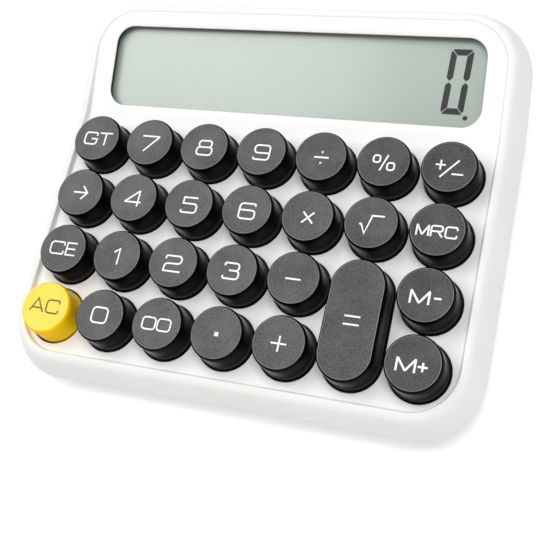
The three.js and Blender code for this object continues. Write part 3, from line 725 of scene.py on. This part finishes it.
def band(path, width, closed):
    """The two edges of a stroke of one width along a path, mitred at its corners."""
    edges = []
    count = len(path)
    for index, here in enumerate(path):
        before = path[index - 1] if closed or index else None
        after = path[(index + 1) % count] if closed or index < count - 1 else None
        coming = (here - before).normalized() if before else (after - here).normalized()
        going = (after - here).normalized() if after else coming
        turn = (coming + going).normalized() if (coming + going).length > NEAR else going
        across = Vector((-turn.y, turn.x))
        side = Vector((-coming.y, coming.x))
        reach = min(width / 2 / max(across.dot(side), 0.2), width * 0.8)
        edges.append((here + across * reach, here - across * reach))
    return edges


def thin_sheet(name, outlines, thickness):
    """Flat faces given thickness by drawing them upwards."""
    mesh = bpy.data.meshes.new(name)
    points = []
    faces = []
    for outline in outlines:
        faces.append(tuple(range(len(points), len(points) + len(outline))))
        points += [(x, y, 0) for x, y in outline]
    mesh.from_pydata(points, [], faces)
    piece = bpy.data.objects.new(name, mesh)
    bpy.context.scene.collection.objects.link(piece)
    only(piece)
    edit_all()
    bpy.ops.mesh.remove_doubles(threshold=1e-7)
    bpy.ops.mesh.extrude_region_move(TRANSFORM_OT_translate={"value": (0, 0, thickness)})
    bpy.ops.mesh.select_all(action="SELECT")
    bpy.ops.mesh.normals_make_consistent(inside=False)
    leave_edit()
    return piece


def printed_strokes(name, width, strokes):
    """A legend: the film of ink that its strokes leave on the cap."""
    outlines = []
    for points, corner, closed in strokes:
        edges = band(rounded_path(points, corner, closed), width, closed)
        steps = range(len(edges)) if closed else range(1, len(edges))
        for step in steps:
            quad = (edges[step - 1][0], edges[step - 1][1], edges[step][1], edges[step][0])
            outlines.append([((x + LEGEND_SHIFT.x) / 1000, (y + LEGEND_SHIFT.y) / 1000) for x, y in quad])
    return thin_sheet(name, outlines, INK_RISE)


def ink(name, colour, faded):
    """Printing ink: thin enough for the grain of the cap to mottle it."""
    finish = Finish(name, IOR=1.5)
    grain = finish.noise(2300, 2, 0.55)
    finish.coat(
        Base_Color=finish.blend(finish.spread(grain, 0.4, 0.7), colour, faded),
        Roughness=finish.between(grain, 0.5, 0.62),
    )
    return finish


white_ink = ink("white_ink", (0.9, 0.9, 0.89, 1), (0.72, 0.72, 0.71, 1))
dark_ink = ink("dark_ink", (0.07, 0.06, 0.02, 1), (0.13, 0.105, 0.03, 1))
for name, (width, strokes) in LEGENDS.items():
    film = printed_strokes("legend_" + name, width, strokes)
    for vertex in film.data.vertices:
        vertex.co.z += CAP_HEIGHT + INK_LIFT - dish(vertex.co.xy.length)
    place(film, DECK_FRAME @ Matrix.Translation(KEY_PLACES[name]))
    paint(film, dark_ink if name == "all_clear" else white_ink)
    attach(film, "key_" + name)

# ---------------------------------------------------------------------------
# Display
# A reflective liquid-crystal glass in grey-green behind a clear acrylic window, with a black foam gasket
# between the window and the housing. One slanted figure and its point show at the right-hand end.

GLASS_TOP = -0.0037
FIGURE_HEIGHT = 0.0199
FIGURE_WIDTH = 0.0069
FIGURE_SLANT = 0.078
SEGMENT = 0.0019
SEGMENT_GAP = 0.0002
NICK = 0.0005
FILM = 0.00002
FIGURE_PLACE = (0.0532, 0.0184)
POINT_PLACE = (0.0043, -0.0108)
POINT_RADIUS = 0.00072
POINT_SIDES = 24

half_wide = FIGURE_WIDTH / 2
half_high = FIGURE_HEIGHT / 2
inner = half_wide - SEGMENT
upright = [
    (half_wide, half_high - 2.2 * NICK),
    (half_wide - 0.8 * NICK, half_high - 1.1 * NICK),
    (inner, half_high - SEGMENT_GAP - SEGMENT),
    (inner, SEGMENT_GAP + SEGMENT / 2),
    (half_wide - SEGMENT / 2, SEGMENT_GAP),
    (half_wide, SEGMENT_GAP + SEGMENT / 2),
]
bar = [
    (-half_wide + NICK, half_high - 0.6 * NICK),
    (-inner + SEGMENT_GAP / 2, half_high - SEGMENT),
    (inner - SEGMENT_GAP / 2, half_high - SEGMENT),
    (half_wide - NICK, half_high - 0.6 * NICK),
    (half_wide - 1.5 * NICK, half_high),
    (-half_wide + 1.5 * NICK, half_high),
]
segments = [[(side * x, end * y) for x, y in upright] for side in (-1, 1) for end in (-1, 1)]
segments += [[(x, end * y) for x, y in bar] for end in (-1, 1)]
segments.append(arc(POINT_PLACE, POINT_RADIUS, 0, 360, POINT_SIDES)[:-1])
slanted = [[(x + FIGURE_SLANT * y, y) for x, y in outline] for outline in segments]
digits = thin_sheet("display_figure", slanted, FILM)
place(digits, DECK_FRAME @ DISPLAY_FRAME @ Matrix.Translation((*FIGURE_PLACE, GLASS_TOP + FILM / 2)))
crystal = Finish("dark_crystal", Specular_IOR_Level=0)
mottle = crystal.noise(900, 2)
crystal.coat(
    Base_Color=crystal.blend(mottle, (0.01, 0.014, 0.013, 1), (0.016, 0.021, 0.02, 1)),
    Roughness=crystal.between(mottle, 0.4, 0.5),
)
paint(digits, crystal)
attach(digits, "housing")

backing = Finish("display_backing", IOR=1.5)
cloud = backing.noise(30, 2)
speckle = backing.noise(3500, 1)
tone = backing.between(cloud * 0.9 + speckle * 0.1, 0, 1)
backing.coat(
    Base_Color=backing.blend(tone, (0.37, 0.43, 0.388, 1), (0.35, 0.41, 0.37, 1)),
    Roughness=backing.between(speckle, 0.35, 0.45),
)
paint(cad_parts["display_glass"], backing)

clear = Finish("clear_window")
gloss = clear.node("ShaderNodeBsdfGlossy", {}, {"Color": (1, 1, 1, 1), "Roughness": 0.19})
through = clear.node("ShaderNodeBsdfTransparent", {}, {"Color": (0.985, 0.99, 0.985, 1)})
# Both faces of the sheet reflect alike, from outside and from inside, because it doesn't bend the light
mirrored = clear.turned() ** 5 * 0.95 + 0.028 + clear.noise(60, 1) * 0.004
mixed = clear.node("ShaderNodeMixShader", {}, {0: mirrored, 1: through, 2: gloss})
clear.feed(clear.tree.nodes["Material Output"].inputs["Surface"], mixed)
paint(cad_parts["display_lens"], clear)

foam = Finish("gasket_foam", IOR=1.45)
cells = foam.noise(3000, 3, 0.7)
foam.coat(
    Base_Color=foam.blend(cells, (0.006, 0.006, 0.006, 1), (0.02, 0.02, 0.02, 1)),
    Roughness=foam.between(cells, 0.8, 0.95),
)
foam.grain(cells, 0.0001)
paint(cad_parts["display_gasket"], foam)

# ---------------------------------------------------------------------------
# Lower housing
# A deep tray of the same white ABS, drawn in towards the desk, with a lip that keys it into the upper
# housing. Columns on its floor take four screws from below, and two cells lie in a bay at its rear edge.

LOWER_DEPTH = 0.0296263
LOWER_TOP = -0.0078
TRAY_FOOT = -0.007143
TRAY_WALL = 0.002
FLOOR_POINT = Vector((0, -0.07485, -0.0151))
FLOOR_NORMAL = Vector((0, math.sin(DECK_TILT), math.cos(DECK_TILT)))
BASE_FRAME = Matrix.Translation((0, -0.0625314, 0.0013))
SCREW_PLACES = {
    "front_left": (-0.028575, -0.06735),
    "front_right": (0.028575, -0.06735),
    "rear_left": (-0.047625, 0.009525),
    "rear_right": (0.047625, 0.009525),
}
FOOT_PLACES = {
    "front_left": (-0.0535, 0.015),
    "front_right": (0.0535, 0.015),
    "rear_left": (-0.0535, 0.102314),
    "rear_right": (0.0535, 0.102314),
}
COLUMN_RADIUS = 0.0037
COLUMN_TOP = -0.0104
COUNTERBORE_END = -0.0128
COUNTERBORE_RADIUS = 0.00265
BORE_RADIUS = 0.00155
RECESS_RADIUS = 0.0053
BAY_HALF = 0.025
BAY_FRONT = 0.091414
BAY_REAR = 0.113914
BAY_CEILING = 0.013
SLOT_TOP = 0.0019
SLOT_REAR = 0.1213
BELOW = -0.001
DOOR_HALF = 0.0276
DOOR_FRONT = 0.088814
DOOR_REAR = 0.117014
DOOR_THICKNESS = 0.0016
TONGUE = 0.0012
FIT = 0.0003


def tray_block(name, top, upward, downward, floor_rise):
    """A drafted block along the body's outline and bend, cut off level with the desk."""
    offset, height = top
    piece = rounded_slab(name, RECESS_OUTLINE, offset, height - SKIN, height)
    ring_levels(piece, 1, [top] + upward)
    ring_levels(piece, -1, [(offset, height - SKIN), downward])
    bend_cuts(piece)
    leave_edit()
    for vertex in piece.data.vertices:
        vertex.co.z += RIM_SLOPE * bend_rise(vertex.co.y)
    edit_all()
    bpy.ops.mesh.bisect(
        plane_co=FLOOR_POINT + FLOOR_NORMAL * floor_rise,
        plane_no=FLOOR_NORMAL,
        clear_inner=True,
        use_fill=True,
        threshold=1e-8,
    )
    return piece


draft_end = LOWER_TOP - LOWER_DEPTH
lip = [(0.0051, -0.00788), (0.0049, LOWER_TOP), (0.0036, LOWER_TOP), (0.00312, -0.0067), (0.003, -0.0066)]
lower = tray_block("lower_tray", (0.00517, -0.0081), lip, (TRAY_FOOT, draft_end), 0)
select_faces(lower, lambda middle, normal: normal.dot(FLOOR_NORMAL) < -UPRIGHT)
bpy.ops.mesh.bevel(offset=0.0005, segments=3, clamp_overlap=False)
leave_edit()
mouth = [(0.0026, LOWER_TOP), (0.002, -0.0062)]
room = tray_block("tray_room", (0.003, -0.0084), mouth, (TRAY_FOOT - TRAY_WALL, draft_end), TRAY_WALL)
leave_edit()
cut(lower, room)


def round_at(name, profile, sides, matrix):
    """A round piece whose points already lie at their place, for a cut or a union."""
    piece = drawn_up(name, profile, sides)
    piece.data.transform(matrix)
    return piece


columns = []
counterbores = []
for name, (x, y) in SCREW_PLACES.items():
    floor_height = FLOOR_POINT.z - (y - FLOOR_POINT.y) * math.tan(DECK_TILT)
    here = Matrix.Translation((x, y, 0))
    column = [(COLUMN_RADIUS + 0.00015, floor_height + 0.0008), (COLUMN_RADIUS, COLUMN_TOP)]
    columns.append(round_at("column_" + name, column, 32, here))
    bores = [(COUNTERBORE_RADIUS, floor_height + BELOW), (COUNTERBORE_RADIUS, COUNTERBORE_END)]
    bores += [(BORE_RADIUS, COUNTERBORE_END), (BORE_RADIUS, -0.01)]
    counterbores.append(round_at("counterbore_" + name, bores, 32, here))
cut(lower, join(columns), "UNION")
cut(lower, join(counterbores))
place(lower, DECK_FRAME)
walls = [
    ("bay_pad", (-0.0305, 0.087114, 0.0005), (0.0305, 0.116, 0.0033)),
    ("bay_shell", (-0.0264, 0.090014, 0.0005), (0.0264, 0.115314, 0.0144)),
]
slot_half = DOOR_HALF + FIT
slot_front = DOOR_FRONT - FIT
rooms = [
    ("bay_room", (-BAY_HALF, BAY_FRONT, BELOW), (BAY_HALF, BAY_REAR, BAY_CEILING)),
    ("door_slot", (-slot_half, slot_front, BELOW), (slot_half, SLOT_REAR, SLOT_TOP)),
    ("tongue_slot", (-slot_half - TONGUE, slot_front, 0.0006), (slot_half + TONGUE, SLOT_REAR, SLOT_TOP)),
]
for blocks, operation in ((walls, "UNION"), (rooms, "DIFFERENCE")):
    for name, low, high in blocks:
        cutter = block(name, low, high)
        cutter.data.transform(BASE_FRAME)
        cut(lower, cutter, operation)
recess = [(RECESS_RADIUS, BELOW), (RECESS_RADIUS, -BELOW)]
cut(lower, join([
    round_at("foot_recess_" + name, recess, 48, BASE_FRAME @ Matrix.Translation((x, y, 0)))
    for name, (x, y) in FOOT_PLACES.items()
]))
smooth(lower, 25)
base_white = white_plastic("base_white", (0.82, 0.822, 0.817, 1), (0.8, 0.803, 0.798, 1))
paint(lower, base_white)
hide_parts("lower_housing")
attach(lower, "housing")

# ---------------------------------------------------------------------------
# Battery door
# A flat panel of the same ABS that slides out to the rear. A tongue along each side runs in the slot of the
# lower housing, and five grooves near its rear edge give the thumb a grip.

GRIP_COUNT = 5
GRIP_END = 0.0036
GRIP_HALF = 0.007
GRIP_PITCH = 0.0018
GRIP_RADIUS = GRIP_PITCH / 4
GRIP_DEPTH = 0.0005

door_top = (DOOR_HALF, DOOR_REAR, DOOR_THICKNESS)
tongue_top = (DOOR_HALF + TONGUE, DOOR_REAR, DOOR_THICKNESS)
door = block("battery_door_fine", (-DOOR_HALF, DOOR_FRONT, 0), door_top, 0.0002)
cut(door, block("door_tongues", (-DOOR_HALF - TONGUE, DOOR_FRONT, 0.0009), tongue_top, 0.00012), "UNION")
grooves = []
for step in range(GRIP_COUNT):
    front = DOOR_REAR - GRIP_END - step * GRIP_PITCH
    bpy.ops.object.select_all(action="DESELECT")
    bpy.ops.mesh.primitive_cylinder_add(
        vertices=24,
        radius=GRIP_RADIUS,
        depth=2 * GRIP_HALF,
        location=(0, front + GRIP_RADIUS, 0),
        rotation=(0, math.pi / 2, 0),
    )
    groove = added("groove")
    groove.data.transform(Matrix.Scale(GRIP_DEPTH / GRIP_RADIUS, 4, (0, 0, 1)))
    grooves.append(groove)
cut(door, join(grooves))
smooth(door, 35)
place(door, BASE_FRAME)
paint(door, base_white)
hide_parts("battery_door")
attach(door, "battery_door")

# ---------------------------------------------------------------------------
# Rubber feet
# Four round feet punched from grey rubber sheet, stuck into shallow recesses near the corners of the
# underside. Each has a rounded edge and a shallow dish that helps it to hold to the desk.

foot_profile = [(0.0031, -0.00115), (0.0034, -0.0013), (0.0045, -0.0013), (0.00475, -0.00123)]
foot_profile += [(0.00493, -0.00105), (0.005, -0.0008), (0.005, 0.00055), (0.00485, 0.0007)]
foot_shape = drawn_up("foot_shape", foot_profile, 48)
smooth(foot_shape, 40)
rubber = Finish("foot_rubber", IOR=1.5, Specular_IOR_Level=0.25)
pores = rubber.noise(1500, 3, 0.65)
dust = rubber.noise(160, 2)
rubber.coat(
    Base_Color=rubber.blend(rubber.spread(dust, 0.4, 0.7), (0.032, 0.032, 0.034, 1), (0.06, 0.06, 0.06, 1)),
    Roughness=rubber.between(pores, 0.7, 0.9),
)
rubber.grain(pores, 0.00005)
for name, (x, y) in FOOT_PLACES.items():
    pad = copy_to(foot_shape, "foot_" + name, BASE_FRAME @ Matrix.Translation((x, y, 0)))
    paint(pad, rubber)
    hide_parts("rubber_foot_" + name)
    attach(pad, "housing")
bpy.data.objects.remove(foot_shape)

# ---------------------------------------------------------------------------
# Housing screws
# Four self-tapping screws with pan heads and cross recesses, in zinc-plated steel. They stand in
# counterbores on the underside and pull the upper housing down by its bosses.

HEAD_FACE = -0.0147
HEAD_SEAT = -0.0131
SHANK_END = -0.0037
SHANK_RADIUS = 0.0009
THREAD_RADIUS = 0.0012
THREAD_PITCH = 0.0008
THREAD_ENDS = 0.0012
CROSS_HALF = 0.0013
CROSS_WIDTH = 0.0006

head_profile = [(0.0005, HEAD_FACE), (0.0011, HEAD_FACE + 0.00002), (0.0016, HEAD_FACE + 0.00014)]
head_profile += [(0.002, HEAD_FACE + 0.00042), (0.00223, HEAD_FACE + 0.0008), (0.0023, HEAD_FACE + 0.0012)]
head_profile += [(0.0023, HEAD_SEAT), (SHANK_RADIUS, HEAD_SEAT)]
height = HEAD_SEAT + THREAD_ENDS
while height < SHANK_END - THREAD_ENDS:
    head_profile += [(SHANK_RADIUS, height), (THREAD_RADIUS, height + 0.3 * THREAD_PITCH)]
    head_profile.append((SHANK_RADIUS, height + 0.6 * THREAD_PITCH))
    height += THREAD_PITCH
head_profile.append((0.0004, SHANK_END))
screw_shape = drawn_up("screw_shape", head_profile, 32)
cross_low = (-CROSS_HALF, -CROSS_WIDTH / 2, HEAD_FACE - 0.0002)
cross_high = (CROSS_HALF, CROSS_WIDTH / 2, HEAD_FACE + 0.0011)
for turn in (0, math.pi / 2):
    slot_cutter = block("cross_slot", cross_low, cross_high)
    bpy.ops.object.mode_set(mode="EDIT")
    select_faces(slot_cutter, lambda middle, normal: normal.z > 0.9)
    bpy.ops.transform.resize(value=(0.35, 0.6, 1), center_override=(0, 0, 0))
    leave_edit()
    slot_cutter.data.transform(Matrix.Rotation(turn, 4, "Z"))
    cut(screw_shape, slot_cutter)
smooth(screw_shape, 30)
steel = Finish("bright_steel", Metallic=1.0)
brushed = steel.noise(900, 3)
tarnish = steel.noise(140, 3)
steel.coat(
    Base_Color=steel.blend(steel.spread(tarnish, 0.35, 0.7), (0.62, 0.62, 0.63, 1), (0.47, 0.465, 0.45, 1)),
    Roughness=steel.between(brushed, 0.22, 0.38),
)
steel.grain(brushed, 0.00001)
for name, (x, y) in SCREW_PLACES.items():
    screw = copy_to(screw_shape, "screw_" + name, DECK_FRAME @ Matrix.Translation((x, y, 0)))
    paint(screw, steel)
    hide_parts("housing_screw_" + name)
    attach(screw, "housing")
bpy.data.objects.remove(screw_shape)

# ---------------------------------------------------------------------------
# Cells and their contacts
# Two AAA cells with crimped steel cans in plain printed jackets lie side by side in the bay, head to tail.
# Nickel-plated spring-steel contacts stand in slots at both ends of the bay.

CELL_RADIUS = 0.00525
CELL_HALF = 0.0219
CELL_HEIGHT = 0.00745
CELL_PLACES = {"battery_front": (0.096964, math.pi / 2), "battery_rear": (0.108364, -math.pi / 2)}
JACKET_END = 0.0198
STRIPE_START = 0.0142

cell_profile = [(0.0036, -CELL_HALF), (0.0042, -CELL_HALF), (0.0044, -CELL_HALF + 0.0002)]
cell_profile += [(0.0049, -CELL_HALF + 0.0001), (0.00515, -CELL_HALF + 0.0002)]
cell_profile.append((CELL_RADIUS, -CELL_HALF + 0.0005))
shoulder_at = CELL_HALF - 0.0012
cell_profile += [(CELL_RADIUS, shoulder_at - 0.0006), (0.0051, shoulder_at - 0.0002)]
cell_profile += [(0.0048, shoulder_at - 0.00005), (0.0044, shoulder_at - 0.0003)]
cell_profile += [(0.0021, shoulder_at - 0.0003), (0.0019, shoulder_at), (0.0019, CELL_HALF - 0.0002)]
cell_profile += [(0.0017, CELL_HALF - 0.00005), (0.0014, CELL_HALF)]
cell_shape = drawn_up("cell_shape", cell_profile, 64)
smooth(cell_shape, 30)
jacket = Finish("cell_jacket", IOR=1.5)
print_grain = jacket.noise(1800, 2)
scuff = jacket.noise(220, 3)
from_middle = jacket.along("X").sum("ABSOLUTE")
can = from_middle.above(JACKET_END)
plain = jacket.blend(jacket.spread(scuff, 0.35, 0.7), (0.02, 0.022, 0.025, 1), (0.035, 0.037, 0.04, 1))
striped = jacket.blend(from_middle.above(STRIPE_START), plain, (0.45, 0.36, 0.2, 1))
jacket.coat(
    Base_Color=jacket.blend(can, striped, (0.6, 0.6, 0.6, 1)),
    Metallic=can,
    Roughness=jacket.between(print_grain, 0.28, 0.4),
)
for name, (y, turn) in CELL_PLACES.items():
    lying = Matrix.Translation((0, y, CELL_HEIGHT)) @ Matrix.Rotation(turn, 4, "Y")
    cell = copy_to(cell_shape, "cell_" + name, BASE_FRAME @ lying)
    paint(cell, jacket)
    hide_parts(name)
    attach(cell, "housing")
bpy.data.objects.remove(cell_shape)
nickel = Finish("contact_nickel", Metallic=1.0)
rolled = nickel.noise(500, 3)
nickel.coat(
    Base_Color=nickel.blend(rolled, (0.62, 0.6, 0.55, 1), (0.74, 0.72, 0.68, 1)),
    Roughness=nickel.between(rolled, 0.2, 0.32),
)
for name in ("bridge", "positive", "negative"):
    paint(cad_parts["battery_contact_" + name], nickel)

# ---------------------------------------------------------------------------
# Boards and the parts behind the display
# Hidden inside: a key board with switches on its upper side, the display's board, the strip that joins it
# to the glass, and the white holder that frames the glass.

board = Finish("circuit_board", IOR=1.5)
weave = board.noise(1400, 2, 0.6)
tracks = board.noise(260, 1)
board.coat(
    Base_Color=board.blend(tracks.above(0.52), (0.008, 0.07, 0.028, 1), (0.014, 0.11, 0.045, 1)),
    Roughness=board.between(weave, 0.3, 0.45),
)
board.grain(weave, 0.00002)
rubber_strip = Finish("connector_rubber", IOR=1.5)
layers = rubber_strip.noise(900, 2)
rubber_strip.coat(
    Base_Color=rubber_strip.blend(layers, (0.02, 0.02, 0.02, 1), (0.06, 0.055, 0.05, 1)),
    Roughness=rubber_strip.between(layers, 0.6, 0.8),
)
for name, finish in (
    ("key_board", board),
    ("display_board", board),
    ("display_connector", rubber_strip),
    ("display_holder", base_white),
):
    paint(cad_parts[name], finish)

# ---------------------------------------------------------------------------
# Studio
# A white paper floor that looks brighter than it lights the part, a large soft lamp to the left, a small
# one above, a low one in front to the right, and an even sky. The camera is fitted to the photograph.

bpy.ops.object.select_all(action="DESELECT")
bpy.ops.mesh.primitive_plane_add(size=8, location=(0, 0, 0))
floor = added("studio_floor")
paper = Finish("paper_floor", Roughness=1.0)
fibre = paper.noise(12, 2)
paper.coat(Base_Color=paper.blend(fibre, (0.86, 0.86, 0.86, 1), (0.88, 0.88, 0.88, 1)))
straight, mirrored, through = (
    paper.node("ShaderNodeLightPath", {}, {}, f"Is {kind} Ray")
    for kind in ("Camera", "Glossy", "Transmission")
)
paper.coat(Emission_Color=(1, 1, 1, 1), Emission_Strength=(straight + mirrored + through) * 0.3)
paint(floor, paper)


def softbox(name, location, width, depth, energy):
    """A rectangular lamp that looks at the calculator from its place."""
    lamp = bpy.data.lights.new(name, "AREA")
    lamp.shape = "RECTANGLE"
    lamp.energy = energy
    lamp.size = width
    lamp.size_y = depth
    holder = bpy.data.objects.new(name, lamp)
    holder.location = location
    holder.rotation_euler = Vector(location).to_track_quat("Z", "Y").to_euler()
    bpy.context.scene.collection.objects.link(holder)


softbox("main_light", (-0.59, 0.1, 1.05), 0.85, 0.68, 6.5)
softbox("top_light", (0.25, 0.05, 1.2), 0.5, 0.5, 7)
softbox("fill_light", (0.9, -0.85, 0.3), 0.8, 0.5, 2.5)
sky = bpy.data.worlds.new("studio_sky")
sky.use_nodes = True
sky.node_tree.nodes["Background"].inputs["Color"].default_value = (1, 1, 1, 1)
sky.node_tree.nodes["Background"].inputs["Strength"].default_value = 0.42
bpy.context.scene.world = sky

camera_data = bpy.data.cameras.new("studio_camera")
camera_data.lens = 75.974
camera_data.sensor_width = 36
camera_data.shift_x = 0.10727
camera_data.shift_y = -0.21818
camera = bpy.data.objects.new("studio_camera", camera_data)
camera.location = (0.13168, -0.14502, 0.31638)
camera.rotation_euler = [math.radians(angle) for angle in (31.92145, 18.76758, 16.43702)]
bpy.context.scene.collection.objects.link(camera)
bpy.context.scene.camera = camera
bpy.context.scene.view_settings.view_transform = "Standard"
